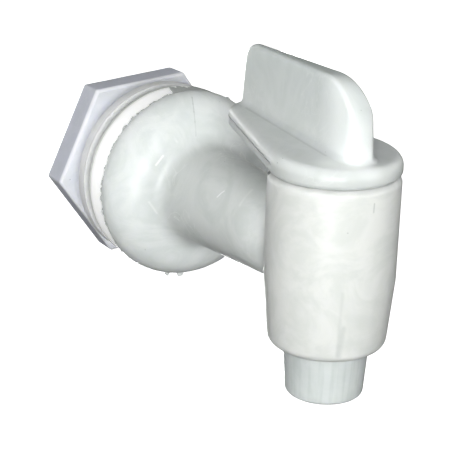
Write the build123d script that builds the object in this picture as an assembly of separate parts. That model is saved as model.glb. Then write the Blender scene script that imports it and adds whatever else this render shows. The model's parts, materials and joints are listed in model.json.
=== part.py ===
from build123d import *
import os
from math import asin, cos, hypot, radians, sin, tan

# Quarter-turn dispenser tap, in millimetres. The origin is on the shank's axis, at the flange's back face.
# +Y runs through the tank wall, the arm reaches towards -Y and +Z is up.

# Body: flange, arm and shank
reach = 58.2                # flange's back face to the barrel's axis
flange_r = 21.95
seat_round = 1.0            # the flange's back edge
dome_round = 9.6            # radius of the flange's swollen front
dome_wrap = 45.0            # degrees past its foremost point, where the dome's arc ends inside the arm
valley_round = 4.0          # hollow between the swollen front and the arm
arm_back_r = 11.9           # the arm's cone, at the flange's back face
arm_front_r = 8.15          # the same cone, at the barrel's axis
arm_barrel_round = 1.0      # small moulded fillet where the arm meets the barrel
shank_r = 13.2              # thread crest
shank_length = 30.8
shank_lead = 1.2            # chamfer that starts the thread
shank_root = 2.0            # how far the shank's root runs into the flange
shank_bore_r = 9.8
shank_bore_depth = 36.0     # cored from the shank's end into the flange
bore_cone_length = 8.0      # narrowing from the shank's bore to the arm's
arm_bore_r = 6.4

# Body: barrel
barrel_top_z = 18.3
barrel_top_r = 13.2
barrel_waist_z = -3.0
barrel_waist_r = 13.2
barrel_foot_z = -17.45
barrel_foot_r = 11.95
barrel_foot_round = 2.1
barrel_top_bevel = 0.9      # with the cap's bevel, the notch between barrel and handle
barrel_top_round = 1.2      # softens the bevel's outer edge
barrel_lip = 2.0            # thickness of the lip that carries the plug's shoulder

# Plug and nozzle
plug_top_r = 10.3
plug_foot_r = 9.2
plug_clearance = 0.06       # running clearance, all round
seat_clearance = 0.1        # under the plug's shoulder
bead_z = -10.5              # snap bead that keeps the plug in the barrel
bead_height = 0.35
bead_half_width = 0.9
bead_clearance = 0.12
nozzle_root_r = 8.75
nozzle_end_r = 8.0
nozzle_end_z = -28.4
nozzle_lip_round = 1.0
plug_bore_r = 6.2
plug_bore_top_z = 17.0
port_r = 5.6

# Handle
groove_gap = 0.1            # slit between the barrel's rim and the cap
cap_bevel = 0.7
cap_round = 0.8             # softens the bevel's outer edge
cap_seam = 0.2              # cap runs up to here below the plate's rounded top edge
plate_z = 22.9              # top of the sloping plate, over the barrel's axis
plate_rise = 3.8            # degrees, upwards to the back
plate_thickness = 4.7
plate_top_round = 2.1
plate_under_round = 1.0
tip_reach = 29.3            # barrel's axis to the centre of the tongue's tip
tip_r = 5.3
tongue_root = 2.0           # the tongue's underside starts this far behind the cap's tangent
fin_top_z = 38.15           # at the back
fin_top_fall = 1.2          # degrees, downwards to the front
fin_front_r = 3.4           # half the fin's thickness at its round front, in the plate
fin_back_r = 2.0            # the same at its thin back
fin_front_reach = 6.45      # front round's centre, ahead of the barrel's axis
fin_back_reach = 30.8       # back round's centre, behind the barrel's axis
fin_draft = 3.5             # degrees, on all sides
fin_front_round = 11.5      # the fin's corners, seen from the side
fin_back_round = 3.6
fin_nose_flat = 0.3         # trimmed off the front and back rounds
fin_edge_round = 0.95
fin_root_depth = 1.4        # how far the fin's root runs into the plate
fin_root_round = 1.2        # hollow between the fin and the plate

# Gasket, washer and nut
ring_clearance = 0.15       # rings over the thread crest
gasket_r = 21.4
gasket_thickness = 9.2
gasket_front_round = 0.6
gasket_back_round = 3.5
washer_r = 21.35
washer_thickness = 3.1
washer_edge_round = 0.35
nut_gap = 5.5               # the nut stands this far short of the washer
nut_corner_r = 23.55
nut_thickness = 7.4
nut_turn = 4.95             # degrees away from flats on top
nut_edge_round = 0.7
nut_clearance = 0.1         # thread crest in the nut's bore
nut_bore_chamfer = 0.7


def turned(points, axis, plane):
    """Solid of revolution of a closed outline drawn on a plane that holds the axis."""
    outline = plane * make_face(Polyline(*points, close=True))
    return revolve(outline, axis)


def edges_at(shape, place, tolerance=0.02):
    """Edges whose middle lies where the test says: place takes a point and gives a distance."""
    return shape.edges().filter_by(lambda edge: abs(place(edge @ 0.5)) < tolerance)


def cone_r(z, low_z, low_r, high_z, high_r):
    """Radius at a height on the straight line between two given radii."""
    return low_r + (high_r - low_r) * (z - low_z) / (high_z - low_z)


def soft_bevel(edges, bevel, rounding, wall_z):
    """Bevels a level round edge and rounds the bevel's edge at the wall, which lies at a given height."""
    shape = chamfer(edges, bevel)
    return fillet(edges_at(shape, lambda p: p.Z - wall_z), rounding)


def plug_r(z):
    """Radius of the running taper at a height."""
    return cone_r(z, shoulder_z, plug_foot_r, barrel_top_z, plug_top_r)


# Heights that follow from the sizes above
shoulder_z = barrel_foot_z + barrel_lip
cap_bottom_z = barrel_top_z + groove_gap
cap_wall_z = cap_bottom_z + cap_bevel + cap_round * tan(radians(45 / 2))
gasket_back = gasket_thickness
washer_back = gasket_back + washer_thickness
nut_front = washer_back + nut_gap
barrel_place = Pos(0, -reach, 0)


def flange_and_arm():
    """Swollen flange, hollow valley and widening arm, turned about the shank's axis."""
    ring_r = flange_r - dome_round
    wrap = radians(dome_wrap)
    inner = (ring_r - dome_round * sin(wrap), -dome_round * cos(wrap))
    dome = ThreePointArc((flange_r, 0), (ring_r, -dome_round), inner)
    flange = revolve(make_face(dome + Polyline(inner, (0, inner[1]), (0, 0), (flange_r, 0))), Axis.Y)
    arm = turned([(0, 0), (arm_back_r, 0), (arm_front_r, -reach), (0, -reach)], Axis.Y, Plane.XY)
    seat = edges_at(flange, lambda p: hypot(p.Y, hypot(p.X, p.Z) - flange_r))
    joined = fillet(seat, seat_round) + arm
    root = joined.edges().filter_by(
        lambda edge: edge.geom_type == GeomType.CIRCLE and -dome_round < (edge @ 0.5).Y < -dome_round / 2
    )
    return fillet(root, valley_round)


def barrel_outside():
    """Barrel's outer form: nearly straight above the arm, tapering below it, with a round foot."""
    points = [
        (0, barrel_foot_z),
        (barrel_foot_r, barrel_foot_z),
        (barrel_waist_r, barrel_waist_z),
        (barrel_top_r, barrel_top_z),
        (0, barrel_top_z),
    ]
    barrel = turned(points, Axis.Z, Plane.XZ)
    foot = edges_at(barrel, lambda p: hypot(p.Z - barrel_foot_z, hypot(p.X, p.Y) - barrel_foot_r))
    barrel = fillet(foot, barrel_foot_round)
    top = edges_at(barrel, lambda p: hypot(p.Z - barrel_top_z, hypot(p.X, p.Y) - barrel_top_r))
    return soft_bevel(top, barrel_top_bevel, barrel_top_round, barrel_top_z - barrel_top_bevel)


def plug_outline(clearance, bead_room, low_z, high_z, step_z):
    """Outline of the running taper with its snap bead, widened all round by a clearance."""
    return [
        (0, low_z),
        (nozzle_root_r + clearance, low_z),
        (nozzle_root_r + clearance, step_z),
        (plug_r(step_z) + clearance, step_z),
        (plug_r(bead_z - bead_half_width) + clearance, bead_z - bead_half_width - bead_room),
        (plug_r(bead_z) + bead_height + bead_room, bead_z),
        (plug_r(bead_z + bead_half_width) + clearance, bead_z + bead_half_width + bead_room),
        (plug_r(high_z) + clearance, high_z),
        (0, high_z),
    ]


def tap_body():
    """Flange, arm, barrel and shank, with the water way through them."""
    barrel = barrel_place * barrel_outside()
    body = flange_and_arm() + barrel
    meeting = body.edges().filter_by(
        lambda edge: edge.geom_type not in (GeomType.CIRCLE, GeomType.LINE)
        and -reach < (edge @ 0.5).Y < -reach + max(barrel_top_r, barrel_waist_r) + arm_barrel_round
    )
    body = fillet(meeting, arm_barrel_round)
    shank = turned(
        [(0, -shank_root), (shank_r, -shank_root), (shank_r, shank_length - shank_lead),
         (shank_r - shank_lead, shank_length), (0, shank_length)],
        Axis.Y, Plane.XY,
    )
    core_end = shank_length - shank_bore_depth
    water_way = turned(
        [(0, shank_length), (shank_bore_r, shank_length), (shank_bore_r, core_end),
         (arm_bore_r, core_end - bore_cone_length), (arm_bore_r, -reach), (0, -reach)],
        Axis.Y, Plane.XY,
    )
    taper = turned(
        plug_outline(plug_clearance, bead_clearance, barrel_foot_z, barrel_top_z, shoulder_z),
        Axis.Z, Plane.XZ,
    )
    return body + shank - water_way - barrel_place * taper


def slope(depth):
    """Plane of the sloping plate's top, or a depth below it."""
    leaning = Plane(origin=(0, 0, plate_z), x_dir=(1, 0, 0), z_dir=Vector(0, 0, 1).rotate(Axis.X, plate_rise))
    return leaning.offset(-depth)


def drop_shape(front_r, front_reach, back_r, back_reach):
    """Round front and smaller round back, joined by their common tangents."""
    lean = asin((front_r - back_r) / (front_reach + back_reach))
    front_x, front_y = front_r * cos(lean), front_r * sin(lean) - front_reach
    back_x, back_y = back_r * cos(lean), back_r * sin(lean) + back_reach
    front = ThreePointArc((-front_x, front_y), (0, -front_reach - front_r), (front_x, front_y))
    back = ThreePointArc((back_x, back_y), (0, back_reach + back_r), (-back_x, back_y))
    return make_face(front + Line(front @ 1, back @ 0) + back + Line(back @ 1, front @ 0))


def handle_plate():
    """Sloping drop-shaped plate and the round cap under it."""
    plate = extrude(drop_shape(barrel_top_r, 0, tip_r, tip_reach), fin_top_z)
    plate = split(plate, slope(0), Keep.BOTTOM)
    plate = split(plate, slope(plate_thickness), Keep.TOP)
    upper = edges_at(plate, lambda p: slope(0).to_local_coords(p).Z)
    plate = fillet(upper, plate_top_round)
    lower = edges_at(plate, lambda p: slope(plate_thickness).to_local_coords(p).Z)
    plate = fillet(lower, plate_under_round)
    tangent_y = barrel_top_r * (barrel_top_r - tip_r) / tip_reach
    under_cap = Box(
        4 * barrel_top_r, 4 * barrel_top_r, cap_wall_z, align=(Align.CENTER, Align.MAX, Align.MIN)
    )
    plate = plate - Pos(0, tangent_y + tongue_root, 0) * under_cap
    cap = extrude(Pos(0, 0, cap_bottom_z) * Circle(barrel_top_r), fin_top_z)
    rim = edges_at(cap, lambda p: p.Z - cap_bottom_z)
    cap = soft_bevel(rim, cap_bevel, cap_round, cap_bottom_z + cap_bevel)
    return plate + split(cap, slope(plate_top_round + cap_seam), Keep.BOTTOM)


def handle_fin():
    """Upright fin, thick and round at the front, thin at the back, with draft on all sides."""
    root_z = plate_z - fin_root_depth
    height = fin_top_z - root_z
    lean = tan(radians(fin_draft))
    plan = drop_shape(fin_front_r, fin_front_reach, fin_back_r, fin_back_reach)
    blade = extrude(Pos(0, 0, root_z) * plan, height, taper=fin_draft)
    front = -fin_front_reach - fin_front_r + fin_nose_flat
    back = fin_back_reach + fin_back_r - fin_nose_flat
    front_top = front + height * lean
    back_top = back - height * lean
    front_top_z = fin_top_z - (back_top - front_top) * tan(radians(fin_top_fall))
    side = make_face(Polyline(
        (front, root_z), (back, root_z), (back_top, fin_top_z), (front_top, front_top_z), close=True
    ))
    side = fillet(side.vertices().sort_by_distance((front_top, front_top_z))[0], fin_front_round)
    side = fillet(side.vertices().sort_by_distance((back_top, fin_top_z))[0], fin_back_round)
    side = Plane.YZ * side
    blade = blade & extrude(side, 2 * fin_front_r, both=True)
    blade = split(blade, slope(fin_root_depth), Keep.TOP)
    outline = edges_at(blade, lambda p: side.wire().distance_to(Vector(0, p.Y, p.Z)))
    outline = outline.filter_by(
        lambda edge: abs((edge @ 0.5).X) > fin_nose_flat and slope(0).to_local_coords(edge @ 0.5).Z > 0
    )
    return fillet(outline, fin_edge_round)


def handle_plug():
    """Cap, fin and tongue with the hollow taper plug and its nozzle below, all one moulding."""
    step_z = shoulder_z + seat_clearance
    taper = turned(
        plug_outline(0, 0, barrel_foot_z, cap_wall_z, step_z), Axis.Z, Plane.XZ
    )
    nozzle = turned(
        [(0, nozzle_end_z), (nozzle_end_r, nozzle_end_z), (nozzle_root_r, barrel_foot_z), (0, barrel_foot_z)],
        Axis.Z, Plane.XZ,
    )
    lip = edges_at(nozzle, lambda p: hypot(p.Z - nozzle_end_z, hypot(p.X, p.Y) - nozzle_end_r))
    nozzle = fillet(lip, nozzle_lip_round)
    hollow = extrude(Pos(0, 0, nozzle_end_z) * Circle(plug_bore_r), plug_bore_top_z - nozzle_end_z)
    port = extrude(Plane.XZ * Circle(port_r), -2 * plug_top_r)
    plug = taper + nozzle - hollow - port
    lever = handle_plate() + handle_fin()
    root = edges_at(lever, lambda p: slope(0).to_local_coords(p).Z)
    lever = fillet(root, fin_root_round)
    return barrel_place * (lever + plug)


def ring(outer_r, thickness, start):
    """Flat ring over the shank."""
    hole = shank_r + ring_clearance
    points = [(hole, start), (outer_r, start), (outer_r, start + thickness), (hole, start + thickness)]
    return turned(points, Axis.Y, Plane.XY)


def front_gasket():
    """Thick soft ring behind the flange, with a full round shoulder at the back."""
    gasket = ring(gasket_r, gasket_thickness, 0)
    back = edges_at(gasket, lambda p: hypot(p.Y - gasket_back, hypot(p.X, p.Z) - gasket_r))
    gasket = fillet(back, gasket_back_round)
    front = edges_at(gasket, lambda p: hypot(p.Y, hypot(p.X, p.Z) - gasket_r))
    return fillet(front, gasket_front_round)


def rear_washer():
    """Flat washer between the gasket and the nut."""
    washer = ring(washer_r, washer_thickness, gasket_back)
    rim = edges_at(washer, lambda p: hypot(p.X, p.Z) - washer_r)
    return fillet(rim, washer_edge_round)


def back_nut():
    """Plain hexagon nut with softened edges and a chamfered bore."""
    hexagon = RegularPolygon(nut_corner_r, 6, rotation=nut_turn)
    nut = Pos(0, nut_front, 0) * extrude(Plane.XZ * hexagon, -nut_thickness)
    nut = fillet(nut.edges(), nut_edge_round)
    bore_r = shank_r + nut_clearance
    nut = nut - turned(
        [(0, nut_front), (bore_r, nut_front), (bore_r, nut_front + nut_thickness), (0, nut_front + nut_thickness)],
        Axis.Y, Plane.XY,
    )
    mouths = nut.edges().filter_by(
        lambda edge: edge.geom_type == GeomType.CIRCLE and abs(edge.radius - bore_r) < nut_clearance
    )
    return chamfer(mouths, nut_bore_chamfer)


os.makedirs("parts", exist_ok=True)
for maker in (tap_body, handle_plug, front_gasket, rear_washer, back_nut):
    export_step(maker(), f"parts/{maker.__name__}.step")
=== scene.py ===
"""Looks of a quarter-turn dispenser tap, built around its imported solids.

Sizes are in millimetres, and become metres where they reach Blender. Places are in the part's own frame: the
origin on the shank's axis at the flange's back face, +Y into the tank and +Z up.
"""

from __future__ import annotations

import json
import logging
import math
from dataclasses import dataclass, replace
from enum import Enum
from typing import Any

import bmesh
import bpy
from mathutils import Matrix, Vector, noise

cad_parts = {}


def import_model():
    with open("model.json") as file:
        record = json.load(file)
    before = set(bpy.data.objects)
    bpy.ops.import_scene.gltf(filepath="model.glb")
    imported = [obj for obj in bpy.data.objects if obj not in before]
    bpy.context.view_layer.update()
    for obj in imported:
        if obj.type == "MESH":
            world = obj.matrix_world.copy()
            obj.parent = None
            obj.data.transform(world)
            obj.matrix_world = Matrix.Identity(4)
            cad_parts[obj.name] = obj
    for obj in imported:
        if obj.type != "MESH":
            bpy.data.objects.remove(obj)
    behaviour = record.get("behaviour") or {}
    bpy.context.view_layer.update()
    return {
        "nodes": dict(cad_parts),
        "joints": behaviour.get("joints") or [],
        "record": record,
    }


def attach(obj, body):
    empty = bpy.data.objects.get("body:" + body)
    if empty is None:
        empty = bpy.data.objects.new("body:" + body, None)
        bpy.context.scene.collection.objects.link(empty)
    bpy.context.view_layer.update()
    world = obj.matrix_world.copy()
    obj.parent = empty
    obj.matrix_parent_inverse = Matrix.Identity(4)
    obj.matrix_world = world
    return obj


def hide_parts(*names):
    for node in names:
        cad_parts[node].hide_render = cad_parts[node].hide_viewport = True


MM = 0.001
WHITE = "#FFFFFF"

# Places that are closer than this are taken as the same
NEAR = 0.01

# Sockets of the Mix node when it mixes colours, by number because its other modes use the same names
MIX_SHARE = 0
MIX_UNDER = 6
MIX_OVER = 7
MIX_RESULT = 2

Point = tuple[float, float, float]
Span = tuple[float, float]
Shades = tuple[tuple[float, str], ...]
Tree = bpy.types.NodeTree
Socket = bpy.types.NodeSocket
log = logging.getLogger("tap")


class Carrier(Enum):
    """The bodies of the part that a piece can ride on."""

    BODY = "body"
    HANDLE = "handle"
    NUT = "nut"


class Slot(Enum):
    """The record's material slots."""

    BODY = "body_plastic"
    HANDLE = "handle_plastic"
    GASKET = "gasket_rubber"
    WASHER = "washer_plastic"
    NUT = "nut_plastic"


class ShadeAxis(Enum):
    """The axes of the part's frame along which a base colour and its painted light and shade can change."""

    SHANK = "Y"
    UPRIGHT = "Z"


def linear(hex_colour: str) -> tuple[float, float, float, float]:
    """Turns an sRGB hex colour into linear light, by the standard's own curve.

    Args:
        hex_colour: Six hex digits with a leading hash.

    Returns:
        Red, green, blue and an alpha of one.
    """
    channels = [int(hex_colour[i:i + 2], 16) / 255 for i in (1, 3, 5)]
    red, green, blue = [c / 12.92 if c <= 0.04045 else ((c + 0.055) / 1.055) ** 2.4 for c in channels]
    return red, green, blue, 1.0


def metres(point: Point) -> Vector:
    """Turns a place in millimetres into metres."""
    return Vector(point) * MM


def facing(azimuth: float, elevation: float) -> Matrix:
    """Works out the turn of a camera or lamp that looks in from a direction.

    Args:
        azimuth: Degrees from the tap's front, round to its right.
        elevation: Degrees above the horizon.

    Returns:
        The turn.
    """
    around = Matrix.Rotation(math.radians(azimuth), 4, "Z")
    return around @ Matrix.Rotation(math.radians(90 - elevation), 4, "X")


def add_node(
    tree: Tree,
    kind: str,
    settings: dict[str | int, Any] | None = None,
    links: dict[str | int, Socket] | None = None,
) -> bpy.types.Node:
    """Adds one shader node with its settings and links.

    Args:
        tree: The material's node tree.
        kind: The node's type name.
        settings: Values by property name, input name or input number.
        links: Sockets to join, by input name or input number.

    Returns:
        The new node.
    """
    node = tree.nodes.new(kind)
    for key, value in (settings or {}).items():
        if isinstance(key, str) and hasattr(node, key):
            setattr(node, key, value)
        else:
            node.inputs[key].default_value = value
    for key, source in (links or {}).items():
        tree.links.new(source, node.inputs[key])
    return node


def new_piece(name: str, shape: bmesh.types.BMesh, carrier: Carrier) -> bpy.types.Object:
    """Makes a finished shape an object that rides on a body.

    Args:
        name: The piece's name.
        shape: The finished shape, in metres in the part's frame. It is freed.
        carrier: The body that carries the piece.

    Returns:
        The new object.
    """
    mesh = bpy.data.meshes.new(name)
    shape.to_mesh(mesh)
    shape.free()
    piece = bpy.data.objects.new(name, mesh)
    bpy.context.scene.collection.objects.link(piece)
    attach(piece, carrier.value)
    log.info("%s: %d faces, on %s", name, len(mesh.polygons), carrier.value)
    return piece


def smooth_by_angle(shape: bmesh.types.BMesh, crease_degrees: float = 24.0) -> None:
    """Shades a shape smooth, apart from edges that bend by more than an angle.

    Args:
        shape: The shape to shade.
        crease_degrees: The smallest bend that stays a crease.
    """
    for face in shape.faces:
        face.smooth = True
    crease = math.radians(crease_degrees)
    for edge in shape.edges:
        edge.smooth = len(edge.link_faces) == 2 and edge.calc_face_angle(0.0) < crease


def merged_copy(node: bpy.types.Object, weld: float = 0.001) -> bmesh.types.BMesh:
    """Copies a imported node's mesh and welds its loose triangles.

    Args:
        node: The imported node's object.
        weld: Largest distance between points that become one.

    Returns:
        The welded copy.
    """
    shape = bmesh.new()
    shape.from_mesh(node.data)
    bmesh.ops.remove_doubles(shape, verts=shape.verts[:], dist=weld * MM)
    return shape


def dress(piece: bpy.types.Object, material: bpy.types.Material) -> None:
    """Gives a piece one material all over."""
    piece.data.materials.clear()
    piece.data.materials.append(material)


@dataclass(frozen=True)
class Stroke:
    """A straight mark on a surface, from a hairline scratch to a wide soft patch; some are painted
    highlights and shadows.

    The mark shows where the surface passes within its width of the line from start to end.
    """

    start: Point
    end: Point
    width: float
    colour: str
    strength: float


@dataclass(frozen=True)
class JunctionShade:
    """The line where an arm along Y runs into an upright post, with painted shade along it."""

    post_y: float
    post_r: float
    arm_r: float
    width: float
    colour: str
    strength: float


@dataclass(frozen=True)
class MouldedPolymer:
    """A polymer with uneven pigment, as it leaves its mould or press.

    The pigment gives cloudy marbling and thin flow streaks, the tool a satin skin with a faint orange peel,
    and the resin a little depth under the skin. Painted light and shade lie over these: the base colour gets
    lighter and darker along an axis as light and shade fall, hollows and a junction get painted shade, some
    strokes are painted highlights and shadows, and a glow paints a part brighter than its lamps light it. A
    span is the stretch of a pattern's own values, from nought to one, over which the pattern fades in.
    """

    name: str
    # The base colour at places along the shade axis: the plastic's tint, and for most finishes painted light
    # and shade
    shades: Shades
    shade_axis: ShadeAxis = ShadeAxis.SHANK
    cloud: str = "#E6EAE8"
    cloud_size: float = 12.0
    cloud_span: Span = (0.36, 0.66)
    cloud_strength: float = 0.44
    streak: str = "#F6F8F5"
    streak_gap: float = 9.0
    streak_share: float = 0.03
    streak_strength: float = 0.35
    streak_front: float = -100.0
    streak_fade: float = 6.0
    patch_size: float = 16.0
    patch_span: Span = (0.42, 0.68)
    speck: str = "#6F7571"
    speck_gap: float = 4.2
    speck_radius: float = 0.16
    speck_strength: float = 0.55
    # Painted shade in notches and hollows, from ambient occlusion: its colour, reach, span and strength
    crease: str = "#5F6664"
    crease_reach: float = 1.6
    crease_span: Span = (0.25, 0.7)
    crease_strength: float = 0.2
    draw_top: float | None = None
    draw_fade: float = 1.0
    draw_gap: float = 0.9
    draw_stretch: float = 50.0
    draw_span: Span = (0.45, 0.7)
    draw_strength: float = 0.5
    peel_size: float = 1.3
    peel_depth: float = 0.012
    roughness: float = 0.42
    smoother: float = 0.05
    rougher: float = 0.07
    gleam: float = 0.4
    # Painted glow: the part gives off its own base colour as light, so it looks brighter than its lamps
    # light it
    painted_glow: float = 0.0
    ior: float = 1.49
    depth: float = 4.0
    depth_weight: float = 0.85
    depth_by_colour: Point = (1.0, 1.0, 0.9)
    strokes: tuple[Stroke, ...] = ()
    junction: JunctionShade | None = None

    def material(self) -> bpy.types.Material:
        """Builds the finish's node material.

        Returns:
            The new material.
        """
        material = bpy.data.materials.new(self.name)
        material.use_nodes = True
        tree = material.node_tree
        shader = tree.nodes["Principled BSDF"]
        place = add_node(tree, "ShaderNodeTexCoord").outputs["Object"]
        tint_and_shading = self._tint_and_shading_ramp(tree, place)
        cloud = self._cloud(tree, place)
        tree.links.new(self._colour(tree, place, tint_and_shading, cloud), shader.inputs["Base Color"])
        tree.links.new(self._satin(tree, cloud), shader.inputs["Roughness"])
        tree.links.new(self._peel(tree, place), shader.inputs["Normal"])
        # Painted glow: the base colour, painted shading and all, is given off as light
        if self.painted_glow > 0:
            tree.links.new(tint_and_shading, shader.inputs["Emission Color"])
        same_all_over = {
            "IOR": self.ior,
            "Specular IOR Level": self.gleam,
            "Emission Strength": self.painted_glow,
            "Subsurface Weight": self.depth_weight,
            "Subsurface Radius": self.depth_by_colour,
            "Subsurface Scale": self.depth * MM,
        }
        for socket, value in same_all_over.items():
            shader.inputs[socket].default_value = value
        return material

    def _colour(self, tree: Tree, place: Socket, tint_and_shading: Socket, cloud: Socket) -> Socket:
        """Lays streaks, specks, marks, painted junction shade and painted crease shade over the clouded base
        colour.
        Some of the marks are painted highlights and shadows.

        Args:
            tree: The material's node tree.
            place: Places on the piece.
            tint_and_shading: The base colour, with its painted light and shade.
            cloud: The marbling's mask.

        Returns:
            The finished colour.
        """
        layers = [(self._streaks(tree, place), self.streak), (self._specks(tree, place), self.speck)]
        layers += [(self._stroke(tree, place, stroke), stroke.colour) for stroke in self.strokes]
        if self.junction is not None:
            layers.append((self._painted_junction_shade(tree, place, self.junction), self.junction.colour))
        layers.append((self._painted_crease_shade(tree), self.crease))
        colour = self._stained(tree, tint_and_shading, cloud)
        if self.draw_top is not None:
            colour = self._stained(tree, colour, self._draw_lines(tree, place))
        for mask, tint in layers:
            cover = {"data_type": "RGBA", MIX_OVER: linear(tint)}
            mix = add_node(tree, "ShaderNodeMix", cover, {MIX_SHARE: mask, MIX_UNDER: colour})
            colour = mix.outputs[MIX_RESULT]
        return colour

    def _stained(self, tree: Tree, colour: Socket, mask: Socket) -> Socket:
        """Multiplies a colour by the cloud's tint where a mask says.

        Args:
            tree: The material's node tree.
            colour: The colour to stain.
            mask: Where and how much.

        Returns:
            The stained colour.
        """
        multiply = {"data_type": "RGBA", "blend_type": "MULTIPLY", MIX_OVER: linear(self.cloud)}
        mix = add_node(tree, "ShaderNodeMix", multiply, {MIX_SHARE: mask, MIX_UNDER: colour})
        return mix.outputs[MIX_RESULT]

    def _satin(self, tree: Tree, cloud: Socket) -> Socket:
        """Makes the skin a little rougher where the cloud is."""
        span = {"To Min": self.roughness - self.smoother, "To Max": self.roughness + self.rougher}
        return add_node(tree, "ShaderNodeMapRange", span, {"Value": cloud}).outputs[0]

    def _peel(self, tree: Tree, place: Socket) -> Socket:
        """Dimples the skin faintly, as orange peel.

        Args:
            tree: The material's node tree.
            place: Places on the piece.

        Returns:
            The dimpled skin's normal.
        """
        grain = {"Scale": 1 / (self.peel_size * MM), "Detail": 2.0}
        dimples = add_node(tree, "ShaderNodeTexNoise", grain, {"Vector": place}).outputs[0]
        relief = {"Strength": 1.0, "Distance": self.peel_depth * MM}
        return add_node(tree, "ShaderNodeBump", relief, {"Height": dimples}).outputs[0]

    def _tint_and_shading_ramp(self, tree: Tree, place: Socket) -> Socket:
        """Makes the base colour, with painted light and shade that change along one axis.

        Args:
            tree: The material's node tree.
            place: Places on the piece.

        Returns:
            The base colour, with its painted light and shade.
        """
        first, last = self.shades[0][0], self.shades[-1][0]
        along = add_node(tree, "ShaderNodeSeparateXYZ", {}, {0: place}).outputs[self.shade_axis.value]
        ends = {"From Min": first * MM, "From Max": last * MM}
        reach = add_node(tree, "ShaderNodeMapRange", ends, {"Value": along}).outputs[0]
        ramp = add_node(tree, "ShaderNodeValToRGB", {}, {0: reach})
        stops = ramp.color_ramp.elements
        while len(stops) < len(self.shades):
            stops.new(1.0)
        for stop, (at, tint) in zip(stops, self.shades):
            stop.position = (at - first) / (last - first)
            stop.color = linear(tint)
        return ramp.outputs["Color"]

    def _cloud(self, tree: Tree, place: Socket) -> Socket:
        """Makes soft marbling, as wide as the cloud size.

        Args:
            tree: The material's node tree.
            place: Places on the piece.

        Returns:
            The marbling's mask.
        """
        wisps = {"Scale": 1 / (self.cloud_size * MM), "Detail": 6.0, "Roughness": 0.6, "Distortion": 2.6}
        swirl = add_node(tree, "ShaderNodeTexNoise", wisps, {"Vector": place}).outputs[0]
        low, high = self.cloud_span
        soft = {"interpolation_type": "SMOOTHSTEP", "From Min": low, "From Max": high}
        strength = {"To Max": self.cloud_strength}
        return add_node(tree, "ShaderNodeMapRange", soft | strength, {"Value": swirl}).outputs[0]

    def _streaks(self, tree: Tree, place: Socket) -> Socket:
        """Draws thin pale flow lines in patches: where a swirling noise passes its middle value.

        Args:
            tree: The material's node tree.
            place: Places on the piece.

        Returns:
            The lines' mask.
        """
        wisps = {"Scale": 1 / (self.streak_gap * MM), "Detail": 2.0, "Roughness": 0.4, "Distortion": 3.0}
        swirl = add_node(tree, "ShaderNodeTexNoise", wisps, {"Vector": place}).outputs[0]
        middle = add_node(tree, "ShaderNodeMath", {"operation": "SUBTRACT", 1: 0.5}, {0: swirl}).outputs[0]
        away = add_node(tree, "ShaderNodeMath", {"operation": "ABSOLUTE"}, {0: middle}).outputs[0]
        soft = {"interpolation_type": "SMOOTHSTEP"}
        thin = soft | {"From Max": self.streak_share, "To Min": self.streak_strength, "To Max": 0.0}
        lines = add_node(tree, "ShaderNodeMapRange", thin, {"Value": away}).outputs[0]
        spots = {"Scale": 1 / (self.patch_size * MM), "Detail": 1.0}
        blots = add_node(tree, "ShaderNodeTexNoise", spots, {"Vector": place}).outputs[0]
        low, high = self.patch_span
        here = soft | {"From Min": low, "From Max": high}
        patches = add_node(tree, "ShaderNodeMapRange", here, {"Value": blots}).outputs[0]
        along = add_node(tree, "ShaderNodeSeparateXYZ", {}, {0: place}).outputs["Y"]
        front = {"From Min": self.streak_front * MM, "From Max": (self.streak_front + self.streak_fade) * MM}
        behind = add_node(tree, "ShaderNodeMapRange", front, {"Value": along}).outputs[0]
        return self._where_all(tree, [lines, patches, behind])

    def _specks(self, tree: Tree, place: Socket) -> Socket:
        """Scatters tiny grains of dirt in the resin.

        Args:
            tree: The material's node tree.
            place: Places on the piece.

        Returns:
            The grains' mask.
        """
        scatter = {"Scale": 1 / (self.speck_gap * MM)}
        cells = add_node(tree, "ShaderNodeTexVoronoi", scatter, {"Vector": place}).outputs["Distance"]
        edge = self.speck_radius / self.speck_gap
        grain = {"From Min": edge / 2, "From Max": edge, "To Min": self.speck_strength, "To Max": 0.0}
        return add_node(tree, "ShaderNodeMapRange", grain, {"Value": cells}).outputs[0]

    def _painted_crease_shade(self, tree: Tree) -> Socket:
        """Paints shade into narrow notches and hollows, where little light reaches.

        Args:
            tree: The material's node tree.

        Returns:
            The grime's mask.
        """
        reach = {"samples": 8, "Distance": self.crease_reach * MM}
        openness = add_node(tree, "ShaderNodeAmbientOcclusion", reach).outputs["AO"]
        low, high = self.crease_span
        soft = {"interpolation_type": "SMOOTHSTEP", "From Min": low, "From Max": high}
        strength = {"To Min": self.crease_strength, "To Max": 0.0}
        return add_node(tree, "ShaderNodeMapRange", soft | strength, {"Value": openness}).outputs[0]

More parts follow.
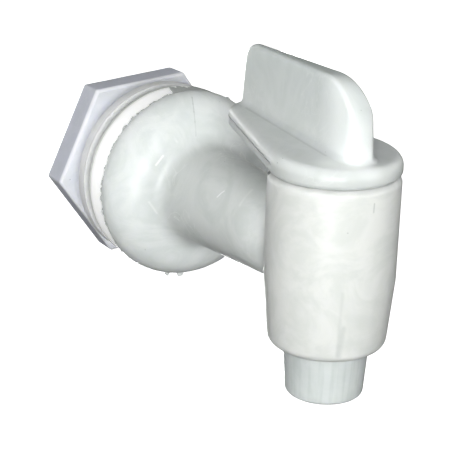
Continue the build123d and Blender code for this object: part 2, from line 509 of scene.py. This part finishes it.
    def _painted_junction_shade(self, tree: Tree, place: Socket, junction: JunctionShade) -> Socket:
        """Paints shade along a junction: near the post's wall, behind its middle and within the arm.

        Args:
            tree: The material's node tree.
            place: Places on the piece.
            junction: Where the painted shade is.

        Returns:
            The painted shade's mask.
        """
        shift = {"operation": "SUBTRACT", 1: metres((0, junction.post_y, 0))}
        from_post = add_node(tree, "ShaderNodeVectorMath", shift, {0: place}).outputs[0]
        behind = add_node(tree, "ShaderNodeSeparateXYZ", {}, {0: from_post}).outputs["Y"]
        rules = (
            (self._from_axis(tree, from_post, (1, 1, 0)), junction.post_r + junction.width, junction.post_r),
            (self._from_axis(tree, place, (1, 0, 1)), junction.arm_r + junction.width, junction.arm_r),
            (behind, 0.0, junction.post_r / 2),
        )
        masks = []
        for gap, outside, inside in rules:
            ends = {"From Min": outside * MM, "From Max": inside * MM}
            masks.append(add_node(tree, "ShaderNodeMapRange", ends, {"Value": gap}).outputs[0])
        strength = {"operation": "MULTIPLY", 1: junction.strength}
        return add_node(tree, "ShaderNodeMath", strength, {0: self._where_all(tree, masks)}).outputs[0]

    @staticmethod
    def _from_axis(tree: Tree, place: Socket, across: Point) -> Socket:
        """Measures how far places are from an axis.

        Args:
            tree: The material's node tree.
            place: Places, from a point on the axis.
            across: One for each coordinate that lies across the axis, and nought for the one along it.

        Returns:
            The distance.
        """
        keep = {"operation": "MULTIPLY", 1: across}
        flat = add_node(tree, "ShaderNodeVectorMath", keep, {0: place}).outputs[0]
        length = {"operation": "LENGTH"}
        return add_node(tree, "ShaderNodeVectorMath", length, {0: flat}).outputs["Value"]

    @staticmethod
    def _where_all(tree: Tree, masks: list[Socket]) -> Socket:
        """Multiplies masks, which leaves what all of them show.

        Args:
            tree: The material's node tree.
            masks: Two masks or more.

        Returns:
            The mask that is left.
        """
        left = masks[0]
        for mask in masks[1:]:
            left = add_node(tree, "ShaderNodeMath", {"operation": "MULTIPLY"}, {0: left, 1: mask}).outputs[0]
        return left

    def _draw_lines(self, tree: Tree, place: Socket) -> Socket:
        """Draws the upright lines that the mould leaves below a height as the part is drawn out of it.

        Args:
            tree: The material's node tree.
            place: Places on the piece.

        Returns:
            The lines' mask.
        """
        stretch = {"Scale": (1.0, 1.0, 1 / self.draw_stretch)}
        upright = add_node(tree, "ShaderNodeMapping", stretch, {"Vector": place}).outputs[0]
        grain = {"Scale": 1 / (self.draw_gap * MM), "Detail": 2.0}
        waves = add_node(tree, "ShaderNodeTexNoise", grain, {"Vector": upright}).outputs[0]
        low, high = self.draw_span
        soft = {"From Min": low, "From Max": high, "To Max": self.draw_strength}
        lines = add_node(tree, "ShaderNodeMapRange", soft, {"Value": waves}).outputs[0]
        height = add_node(tree, "ShaderNodeSeparateXYZ", {}, {0: place}).outputs["Z"]
        top = {"From Min": self.draw_top * MM, "From Max": (self.draw_top - self.draw_fade) * MM}
        below = add_node(tree, "ShaderNodeMapRange", top, {"Value": height}).outputs[0]
        return self._where_all(tree, [lines, below])

    @staticmethod
    def _stroke(tree: Tree, place: Socket, stroke: Stroke) -> Socket:
        """Draws a straight mark: full on its line, fading out over its width.

        Args:
            tree: The material's node tree.
            place: Places on the piece.
            stroke: The mark.

        Returns:
            The mark's mask.
        """
        run = metres(stroke.end) - metres(stroke.start)
        along = run.normalized()
        shift = {"operation": "SUBTRACT", 1: metres(stroke.start)}
        offset = add_node(tree, "ShaderNodeVectorMath", shift, {0: place}).outputs[0]
        onto_line = {"operation": "DOT_PRODUCT", 1: along}
        reach = add_node(tree, "ShaderNodeVectorMath", onto_line, {0: offset}).outputs["Value"]
        within = add_node(tree, "ShaderNodeClamp", {"Max": run.length}, {"Value": reach}).outputs[0]
        walk = {"operation": "SCALE", 0: along}
        foot = add_node(tree, "ShaderNodeVectorMath", walk, {"Scale": within}).outputs[0]
        apart = {"operation": "DISTANCE"}
        gap = add_node(tree, "ShaderNodeVectorMath", apart, {0: offset, 1: foot}).outputs["Value"]
        soft = {"interpolation_type": "SMOOTHSTEP", "From Max": stroke.width * MM}
        strength = {"To Min": stroke.strength, "To Max": 0.0}
        return add_node(tree, "ShaderNodeMapRange", soft | strength, {"Value": gap}).outputs[0]


@dataclass(frozen=True)
class Flap:
    """A stretch of the flange's edge, in degrees, where the flash stands higher or lies back."""

    middle: float
    half_width: float
    height: float
    lie: float = 0.0
    ramp: float = 0.25

    def share(self, degrees: float) -> float:
        """Share of the flap's full size at an angle: one in its middle, nought outside it."""
        away = abs((degrees - self.middle + 180) % 360 - 180) / self.half_width
        return max(0.0, min(1.0, (1 - away) / self.ramp))


@dataclass
class TapBody:
    """Flange, arm, barrel and threaded shank, with the flash that the mould left round the flange."""

    node: bpy.types.Object
    shank_end: float
    thread_pitch: float = 1.814
    thread_crest_r: float = 13.2
    thread_root_r: float = 12.1
    thread_sunk: float = 0.1
    thread_start: float = 12.4
    thread_foot_half: float = 0.8
    thread_crest_half: float = 0.22
    thread_steps: int = 64
    neck_start: float = 10.0
    neck_length: float = 0.5
    seat_r: float = 21.55
    flash_inset: float = 0.7
    flash_back: float = -0.02
    flash_thickness: float = 0.22
    flash_height: float = 0.12
    flash_ragged: float = 0.55
    flash_steps: int = 720
    flap_ragged: float = 0.4
    hem_ragged: float = 0.5
    nicks: float = 16.0
    nick_slice: float = 0.02
    nick_fade: float = 0.6
    nick_ratio: float = 2.2
    nick_octaves: int = 3
    flaps: tuple[Flap, ...] = (
        Flap(80.0, 19.0, 0.1, 4.4), Flap(58.0, 3.0, 0.5), Flap(258.5, 2.3, 1.15), Flap(268.5, 4.2, 1.15),
    )

    def build(self, material: bpy.types.Material, thin_material: bpy.types.Material) -> None:
        """Builds and dresses the body's pieces.

        Args:
            material: The plastic that they are moulded from.
            thin_material: The same plastic as it shows in the thin flash.
        """
        for piece in (self._shell(), self._thread()):
            dress(piece, material)
        dress(self._flash(), thin_material)

    def _shell(self) -> bpy.types.Object:
        """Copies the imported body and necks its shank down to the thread's root.

        Returns:
            The body's shell.
        """
        shape = merged_copy(self.node)
        neck_end = self.neck_start + self.neck_length
        for cut in (self.neck_start, neck_end):
            everything = shape.verts[:] + shape.edges[:] + shape.faces[:]
            bmesh.ops.bisect_plane(shape, geom=everything, plane_co=(0, cut * MM, 0), plane_no=(0, 1, 0))
        for vert in shape.verts:
            radius = math.hypot(vert.co.x, vert.co.z)
            if vert.co.y > (neck_end - NEAR) * MM and radius > self.thread_root_r * MM:
                vert.co.x *= self.thread_root_r * MM / radius
                vert.co.z *= self.thread_root_r * MM / radius
        smooth_by_angle(shape)
        piece = new_piece("tap_body_shell", shape, Carrier.BODY)
        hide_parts(self.node.name)
        return piece

    def _thread(self) -> bpy.types.Object:
        """Winds the thread's ridge round the shank.

        Returns:
            The ridge.
        """
        shape = bmesh.new()
        foot_r = self.thread_root_r - self.thread_sunk
        section = [
            (foot_r, -self.thread_foot_half), (self.thread_crest_r, -self.thread_crest_half),
            (self.thread_crest_r, self.thread_crest_half), (foot_r, self.thread_foot_half),
        ]
        corners = [shape.verts.new(metres((r, self.thread_start + y, 0))) for r, y in section]
        face = shape.faces.new(corners)
        room = self.shank_end - self.thread_start - self.thread_foot_half
        turns = room / self.thread_pitch
        steps = int(turns * self.thread_steps)
        rise = Vector((0, room * MM / steps, 0))
        bmesh.ops.spin(
            shape, geom=[face] + face.edges[:] + corners, cent=(0, 0, 0), axis=(0, 1, 0), dvec=rise,
            angle=2 * math.pi * turns, steps=steps, use_merge=False, use_duplicate=False,
        )
        bmesh.ops.recalc_face_normals(shape, faces=shape.faces[:])
        smooth_by_angle(shape)
        return new_piece("shank_thread", shape, Carrier.BODY)

    def _flash(self) -> bpy.types.Object:
        """Makes the thin ragged fin of flash at the flange's edge, with the hem of its flap that lies back.

        Returns:
            The flash.
        """
        shape = bmesh.new()
        inner_r = (self.seat_r - self.flash_inset) * MM
        upright = Matrix.Rotation(math.radians(90), 4, "X")
        bmesh.ops.create_circle(shape, segments=self.flash_steps, radius=inner_r, matrix=upright)
        ring = bmesh.ops.extrude_edge_only(shape, edges=shape.edges[:])
        rim = [item for item in ring["geom"] if isinstance(item, bmesh.types.BMEdge)]
        for vert in {vert for edge in rim for vert in edge.verts}:
            vert.co *= (self.seat_r + self._flash_rise(self._degrees(vert))) * MM / inner_r
        bent = [edge for edge in rim if min(self._flash_lie(self._degrees(vert)) for vert in edge.verts) > 0]
        hem = bmesh.ops.extrude_edge_only(shape, edges=bent)
        for vert in hem["geom"]:
            if isinstance(vert, bmesh.types.BMVert):
                vert.co.y += self._flash_lie(self._degrees(vert)) * MM
        bmesh.ops.recalc_face_normals(shape, faces=shape.faces[:])
        bmesh.ops.solidify(shape, geom=shape.faces[:], thickness=self.flash_thickness * MM)
        bmesh.ops.recalc_face_normals(shape, faces=shape.faces[:])
        back = max(vert.co.y for vert in shape.verts if vert.co.xz.length < inner_r + NEAR * MM)
        bmesh.ops.translate(shape, verts=shape.verts[:], vec=(0, self.flash_back * MM - back, 0))
        smooth_by_angle(shape)
        return new_piece("flange_flash", shape, Carrier.BODY)

    def _flash_rise(self, degrees: float) -> float:
        """Works out how far the flash stands out of the flange's edge.

        Args:
            degrees: The angle round the flange.

        Returns:
            The height of the flash there.
        """
        ragged = self._ragged(degrees)
        rise = max(-self.flash_height, self.flash_height + self.flash_ragged * ragged)
        for flap in self.flaps:
            share = flap.share(degrees)
            if flap.lie > 0:
                rise += (self.flash_height + flap.height - rise) * share
            else:
                rise += flap.height * share * (1 + self.flap_ragged * ragged)
        return rise

    def _flash_lie(self, degrees: float) -> float:
        """How far the flash lies back over the gasket at an angle round the flange."""
        lie = sum(flap.lie * flap.share(degrees) for flap in self.flaps)
        return lie * (1 + self.hem_ragged * self._ragged(degrees))

    def _ragged(self, degrees: float) -> float:
        """Works out how uneven the flash is.

        Args:
            degrees: The angle round the flange.

        Returns:
            About minus one in a nick to one on a tooth.
        """
        angle = math.radians(degrees)
        around = Vector((math.cos(angle), math.sin(angle), self.nick_slice)) * self.nicks
        return noise.fractal(around, self.nick_fade, self.nick_ratio, self.nick_octaves)

    @staticmethod
    def _degrees(vert: bmesh.types.BMVert) -> float:
        """Angle of a point round the shank's axis, from +X towards +Z."""
        return math.degrees(math.atan2(vert.co.z, vert.co.x)) % 360


@dataclass
class Handle:
    """Lever with its cap, plug and nozzle, and the mould's parting line round the tongue."""

    node: bpy.types.Object
    barrel_y: float
    cap_r: float = 13.2
    tip_r: float = 5.3
    tip_reach: float = 29.3
    plate_z: float = 22.9
    plate_rise: float = 3.8
    seam_depth: float = 2.55
    seam_r: float = 0.15
    seam_sides: int = 8
    seam_steps: int = 40
    seam_crease: float = 48.0

    def build(self, material: bpy.types.Material) -> None:
        """Builds and dresses the handle's pieces.

        Args:
            material: The plastic that they are moulded from.
        """
        shape = merged_copy(self.node)
        smooth_by_angle(shape)
        shell = new_piece("handle_shell", shape, Carrier.HANDLE)
        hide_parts(self.node.name)
        for piece in (shell, self._seam()):
            dress(piece, material)

    def _seam(self) -> bpy.types.Object:
        """Runs a fine bead along the tongue's edge, where the two halves of the mould met.

        Returns:
            The bead.
        """
        lean = math.asin((self.cap_r - self.tip_r) / self.tip_reach)
        start = Vector((self.cap_r * math.cos(lean), self.cap_r * math.sin(lean), 0)) * MM
        bend = Vector((self.tip_r * math.cos(lean), self.tip_reach + self.tip_r * math.sin(lean), 0)) * MM
        run = bend - start
        shape = bmesh.new()
        across = Matrix.Translation(start) @ run.to_track_quat("Z", "Y").to_matrix().to_4x4()
        bmesh.ops.create_circle(
            shape, segments=self.seam_sides, radius=self.seam_r * MM, cap_ends=True, matrix=across,
        )
        ends = self._pull(shape, shape.faces[:], run)
        swept = bmesh.ops.spin(
            shape, geom=ends, cent=(0, self.tip_reach * MM, 0), axis=(0, 0, 1), angle=math.pi - 2 * lean,
            steps=self.seam_steps, use_merge=False, use_duplicate=False,
        )
        last = [item for item in swept["geom_last"] if isinstance(item, bmesh.types.BMFace)]
        self._pull(shape, last, Vector((run.x, -run.y, 0)))
        slope = Matrix.Identity(4)
        slope[2][1] = math.tan(math.radians(self.plate_rise))
        bmesh.ops.transform(shape, matrix=slope, verts=shape.verts[:])
        lift = metres((0, self.barrel_y, self.plate_z - self.seam_depth))
        bmesh.ops.translate(shape, verts=shape.verts[:], vec=lift)
        bmesh.ops.recalc_face_normals(shape, faces=shape.faces[:])
        smooth_by_angle(shape, self.seam_crease)
        return new_piece("tongue_parting_line", shape, Carrier.HANDLE)

    @staticmethod
    def _pull(shape: bmesh.types.BMesh, faces: list[bmesh.types.BMFace], run: Vector) -> list[Any]:
        """Pulls an end face straight along a run.

        Args:
            shape: The bead so far.
            faces: Its end face.
            run: How far to pull it, in metres.

        Returns:
            The new end face with its edges and points.
        """
        pulled = bmesh.ops.extrude_face_region(shape, geom=faces)["geom"]
        bmesh.ops.delete(shape, geom=faces, context="FACES_ONLY")
        bmesh.ops.translate(shape, verts=[v for v in pulled if isinstance(v, bmesh.types.BMVert)], vec=run)
        return pulled


@dataclass
class PlainPiece:
    """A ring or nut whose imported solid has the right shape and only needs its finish."""

    node: bpy.types.Object
    carrier: Carrier
    slot: Slot

    def build(self, material: bpy.types.Material) -> None:
        """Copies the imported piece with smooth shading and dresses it.

        Args:
            material: The finish.
        """
        shape = merged_copy(self.node)
        smooth_by_angle(shape)
        piece = new_piece(f"{self.node.name}_shell", shape, self.carrier)
        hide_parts(self.node.name)
        dress(piece, material)


@dataclass(frozen=True)
class SoftLight:
    """A square soft box that faces the tap, with its power in watts."""

    name: str
    azimuth: float
    elevation: float
    distance: float
    side: float
    power: float

    def build(self, aim: Vector) -> None:
        """Hangs the soft box in place.

        Args:
            aim: The point that it faces, in metres.
        """
        data = bpy.data.lights.new(self.name, "AREA")
        data.size = self.side * MM
        data.energy = self.power
        lamp = bpy.data.objects.new(self.name, data)
        bpy.context.scene.collection.objects.link(lamp)
        away = Matrix.Translation(metres((0, 0, self.distance)))
        lamp.matrix_world = Matrix.Translation(aim) @ facing(self.azimuth, self.elevation) @ away


@dataclass
class Studio:
    """Pale floor, soft light and the camera at the photograph's viewing angle."""

    aim: Point
    image_side: float = 452.0
    focal_pixels: float = 1339.5
    sensor: float = 36.0
    camera_place: Point = (-149.85, -258.41, 93.68)
    camera_azimuth: float = -32.03
    camera_elevation: float = 19.276
    camera_roll: float = 1.431
    camera_clip: float = 10.0
    floor_z: float = -120.0
    floor_side: float = 40000.0
    white_level: float = 1.0
    lights: tuple[SoftLight, ...] = (
        SoftLight("camera_softbox", -30.0, 15.0, 300.0, 120.0, 0.64),
        SoftLight("left_softbox", -45.0, 0.0, 300.0, 120.0, 0.46),
        SoftLight("right_softbox", 30.0, 5.0, 300.0, 120.0, 0.18),
        SoftLight("upper_softbox", -25.0, 35.0, 300.0, 120.0, 0.1),
        SoftLight("low_front_softbox", -20.0, -40.0, 750.0, 450.0, 0.22),
        SoftLight("back_right_softbox", 90.0, 30.0, 750.0, 450.0, 1.6),
        SoftLight("back_softbox", 148.0, -19.0, 750.0, 300.0, 4.5),
        SoftLight("low_back_softbox", 183.0, -4.0, 750.0, 300.0, 1.8),
        SoftLight("back_left_softbox", -130.0, 45.0, 750.0, 450.0, 1.28),
        SoftLight("ceiling_softbox", -30.0, 70.0, 750.0, 450.0, 0.4),
    )

    def build(self) -> None:
        """Sets up the floor, the room, the lights and the camera."""
        scene = bpy.context.scene
        scene.view_settings.view_transform = "Standard"
        self._floor(scene)
        self._room(scene)
        for light in self.lights:
            light.build(metres(self.aim))
        self._camera(scene)

    def _floor(self, scene: bpy.types.Scene) -> None:
        """Lays a floor that shows white, and neither throws light up at the tap nor shades it from below.

        Args:
            scene: The scene that gets the floor.
        """
        shape = bmesh.new()
        bmesh.ops.create_grid(shape, x_segments=1, y_segments=1, size=self.floor_side * MM / 2)
        bmesh.ops.translate(shape, verts=shape.verts[:], vec=metres((0, 0, self.floor_z)))
        mesh = bpy.data.meshes.new("pale_floor")
        shape.to_mesh(mesh)
        shape.free()
        floor = bpy.data.objects.new("pale_floor", mesh)
        scene.collection.objects.link(floor)
        dress(floor, self._paper())
        floor.visible_diffuse = False
        floor.visible_glossy = False
        floor.visible_shadow = False

    def _paper(self) -> bpy.types.Material:
        """Makes the floor's white paper, which looks evenly white with no gloss and no shadow.

        Returns:
            The new material.
        """
        material = bpy.data.materials.new("white_paper")
        material.use_nodes = True
        shader = material.node_tree.nodes["Principled BSDF"]
        shader.inputs["Base Color"].default_value = linear(WHITE)
        shader.inputs["Roughness"].default_value = 1.0
        shader.inputs["Specular IOR Level"].default_value = 0.0
        shader.inputs["Emission Color"].default_value = linear(WHITE)
        shader.inputs["Emission Strength"].default_value = self.white_level
        return material

    def _room(self, scene: bpy.types.Scene) -> None:
        """Surrounds the tap with white that only the camera sees: the soft boxes give all the light.

        Args:
            scene: The scene that gets the room.
        """
        world = bpy.data.worlds.new("pale_room")
        world.use_nodes = True
        room = world.node_tree.nodes["Background"]
        room.inputs["Color"].default_value = linear(WHITE)
        room.inputs["Strength"].default_value = self.white_level
        for ray in ("diffuse", "glossy", "transmission", "scatter"):
            setattr(world.cycles_visibility, ray, False)
        scene.world = world

    def _camera(self, scene: bpy.types.Scene) -> None:
        """Places the camera where the photograph was taken from.

        Args:
            scene: The scene that gets the camera.
        """
        data = bpy.data.cameras.new("photo_camera")
        data.sensor_width = self.sensor
        data.lens = self.focal_pixels * self.sensor / self.image_side
        data.clip_start = self.camera_clip * MM
        camera = bpy.data.objects.new("photo_camera", data)
        scene.collection.objects.link(camera)
        roll = Matrix.Rotation(math.radians(self.camera_roll), 4, "Z")
        turn = facing(self.camera_azimuth, self.camera_elevation) @ roll
        camera.matrix_world = Matrix.Translation(metres(self.camera_place)) @ turn
        scene.camera = camera


# The weld line over the top of the dome, which fades towards the arm
WELD_POINTS = (
    (-0.5, -3.83, 21.14), (-1.3, -5.7, 20.03), (-1.9, -7.2, 18.6), (-2.36, -8.49, 16.65),
    (-2.63, -9.5, 13.69),
)
WELD_STRENGTHS = (0.45, 0.42, 0.36, 0.28)
WELD_LINE = tuple(
    Stroke(start, end, 0.24, "#9AA29E", strength)
    for start, end, strength in zip(WELD_POINTS, WELD_POINTS[1:], WELD_STRENGTHS)
)

# Painted shadow: a dark patch in the notch between barrel and arm, under the tongue
NOTCH_SHADOW = Stroke((-10.75, -51.0, 17.65), (-11.3, -52.1, 17.8), 0.9, "#1D2120", 0.95)

# Pale flow marks on the dome and the arm
FLOW_MARKS = (
    Stroke((-12.6, -9.2, 8.2), (-10.9, -9.3, 10.1), 0.4, WHITE, 0.5),
    Stroke((-14.4, -9.4, -0.1), (-12.7, -9.9, -2.8), 0.4, WHITE, 0.25),
    Stroke((-9.8, -4.9, 18.1), (-7.4, -9.3, 12.9), 0.5, WHITE, 0.2),
    Stroke((-8.3, -28.3, 5.7), (-7.1, -29.1, 7.05), 0.3, WHITE, 0.5),
    Stroke((-7.4, -36.0, 6.0), (-4.2, -35.4, 8.6), 0.6, "#F4F6F4", 0.2),
)

# A scratch near the barrel's top and two soft flow marks at its foot
BARREL_MARKS = (
    Stroke((-0.25, -71.4, 15.6), (-0.3, -71.35, 13.9), 0.28, "#8E9692", 0.55),
    Stroke((-5.6, -70.15, -2.0), (-5.3, -69.1, -15.4), 0.6, "#9EA4A1", 0.16),
    Stroke((-4.7, -69.94, -9.5), (-5.1, -69.2, -15.5), 0.95, "#9EA4A1", 0.3),
)

# Painted highlights: the fin's nose and the cap's front below it are painted paler than the blade
FIN_NOSE_HIGHLIGHT = Stroke((-3.4, -64.6, 25.0), (-2.4, -61.4, 35.0), 7.5, "#F1F5F4", 0.5)
CAP_FRONT_HIGHLIGHT = Stroke((-6.2, -65.0, 22.7), (-1.2, -69.4, 22.7), 4.5, "#F1F5F4", 0.6)

# Painted shade: a fine dark line in the hollow at the fin's foot, on both sides
FIN_FOOT_SHADE = tuple(
    Stroke((side * 2.75, -29.9, 24.93), (side * 4.3, -60.8, 22.88), 0.5, "#868E8B", 0.3) for side in (-1, 1)
)

# Painted shade along the line where the arm runs into the barrel
ARM_JUNCTION_SHADE = JunctionShade(-58.2, 13.35, 9.9, 0.75, "#7B827F", 0.55)

# Base colours: a place along the shade axis, and the colour there. All but the flash's hold painted light
# and shade over the plastic's tint
# Body: painted shade in the valley between dome and arm, painted light on the dome and near the arm's barrel
# end
BODY_TINT_AND_SHADING = (
    (-72.0, "#CDCFCC"), (-50.0, "#CDCFCC"), (-45.0, "#E2E6E4"), (-36.0, "#CDD1CF"), (-24.0, "#CDD1CF"),
    (-11.5, "#C9CDCB"), (-8.2, "#DBDFDE"), (-5.0, "#E2E6E5"), (0.0, "#E0E4E3"),
)
FLASH_SHADES = ((-1.0, "#C4C8C6"), (5.0, "#C4C8C6"))
# Handle: painted shade on the nozzle, the cap's rim and up the fin, painted light on the cap's top and the
# tongue
HANDLE_TINT_AND_SHADING = (
    (-30.0, "#C5CAC9"), (20.5, "#BDC1BF"), (22.6, "#D0D4D3"), (25.5, "#CACECC"), (38.0, "#C2C8C7"),
)
# Gasket: painted shade, the grey band where its shoulder rounds off to the back
GASKET_TINT_AND_SHADING = ((0.0, "#FDFFFC"), (5.0, "#FDFFFC"), (6.2, "#B8BBB7"), (7.7, "#9EA19D"), (9.2, "#A3A6A2"))
# Washer: painted shade on its front face, painted light on its rim
WASHER_TINT_AND_SHADING = ((9.2, "#D8D9D9"), (9.45, "#D2D3D3"), (10.0, "#F1F2F2"), (12.3, "#F1F2F2"))
# Nut: painted light on its front face, painted shade on its sides
NUT_TINT_AND_SHADING = ((17.8, "#E9ECF2"), (18.4, "#E9ECF2"), (18.9, "#CACDD7"), (25.2, "#CACDD7"))

# Injection-moulded polypropylene with unevenly mixed pigment: a milky satin white, cloudy all over and
# streaked behind the barrel, with painted light and shade along the shank, a painted shadow in the notch
# under the tongue and painted shade where the arm meets the barrel
BODY_PLASTIC = MouldedPolymer(
    "moulded_polypropylene_body", BODY_TINT_AND_SHADING, streak_front=-50.0,
    strokes=WELD_LINE + (NOTCH_SHADOW,) + FLOW_MARKS + BARREL_MARKS, junction=ARM_JUNCTION_SHADE,
)

# The same plastic squeezed out thin between the halves of the mould: a dull grey edge with little depth
FLASH_PLASTIC = replace(
    BODY_PLASTIC, name="moulded_polypropylene_flash", shades=FLASH_SHADES, depth_weight=0.2, strokes=(),
    junction=None,
)

# Injection-moulded polypropylene: the same milky white with calmer clouds and upright lines on the nozzle,
# with painted light and shade from nozzle to fin, painted highlights on the fin's nose and the cap's front,
# and painted shade at the fin's foot
HANDLE_PLASTIC = MouldedPolymer(
    "moulded_polypropylene_handle", HANDLE_TINT_AND_SHADING, ShadeAxis.UPRIGHT, cloud_strength=0.28,
    streak_strength=0.1, draw_top=-17.5, strokes=(FIN_NOSE_HIGHLIGHT, CAP_FRONT_HIGHLIGHT) + FIN_FOOT_SHADE,
)

# Moulded white rubber: soft, matt and white, with a painted glow that lights it brighter than its lamps do
# and painted shade as a grey band where its shoulder rounds off to the back
GASKET_RUBBER = MouldedPolymer(
    "moulded_white_rubber", GASKET_TINT_AND_SHADING, cloud_strength=0.1, streak_strength=0.0, crease_strength=0.3,
    painted_glow=0.33, roughness=0.5,
)

# Polyethylene punched from sheet: waxy and pale, with painted shade on its front edge and painted light
# on its rim
WASHER_PLASTIC = MouldedPolymer(
    "punched_polyethylene_washer", WASHER_TINT_AND_SHADING, streak_strength=0.2, crease_strength=0.1,
)

# Injection-moulded polypropylene with a cooler pigment: a bluish white, calmer than the body and less
# glossy, with painted light on its front face and painted shade on its sides
NUT_PLASTIC = MouldedPolymer(
    "moulded_polypropylene_nut", NUT_TINT_AND_SHADING, streak_strength=0.1, cloud_strength=0.25, gleam=0.15,
    roughness=0.5,
)


def main() -> None:
    """Builds the tap's pieces, then the studio."""
    logging.basicConfig(level=logging.INFO, format="%(message)s")
    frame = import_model()
    nodes = frame["nodes"]
    mounts = {mount["name"]: mount for mount in frame["record"]["mounts"]}
    joints = {joint["name"]: joint for joint in frame["joints"]}
    shank_end = mounts["inlet"]["pos_m"][1] / MM
    barrel_y = joints["handle_turn"]["pos_m"][1] / MM
    TapBody(nodes["tap_body"], shank_end).build(BODY_PLASTIC.material(), FLASH_PLASTIC.material())
    Handle(nodes["handle_plug"], barrel_y).build(HANDLE_PLASTIC.material())
    PlainPiece(nodes["front_gasket"], Carrier.BODY, Slot.GASKET).build(GASKET_RUBBER.material())
    PlainPiece(nodes["rear_washer"], Carrier.BODY, Slot.WASHER).build(WASHER_PLASTIC.material())
    PlainPiece(nodes["back_nut"], Carrier.NUT, Slot.NUT).build(NUT_PLASTIC.material())
    Studio(aim=(0.0, barrel_y / 2, 0.0)).build()


if __name__ == "__main__":
    main()
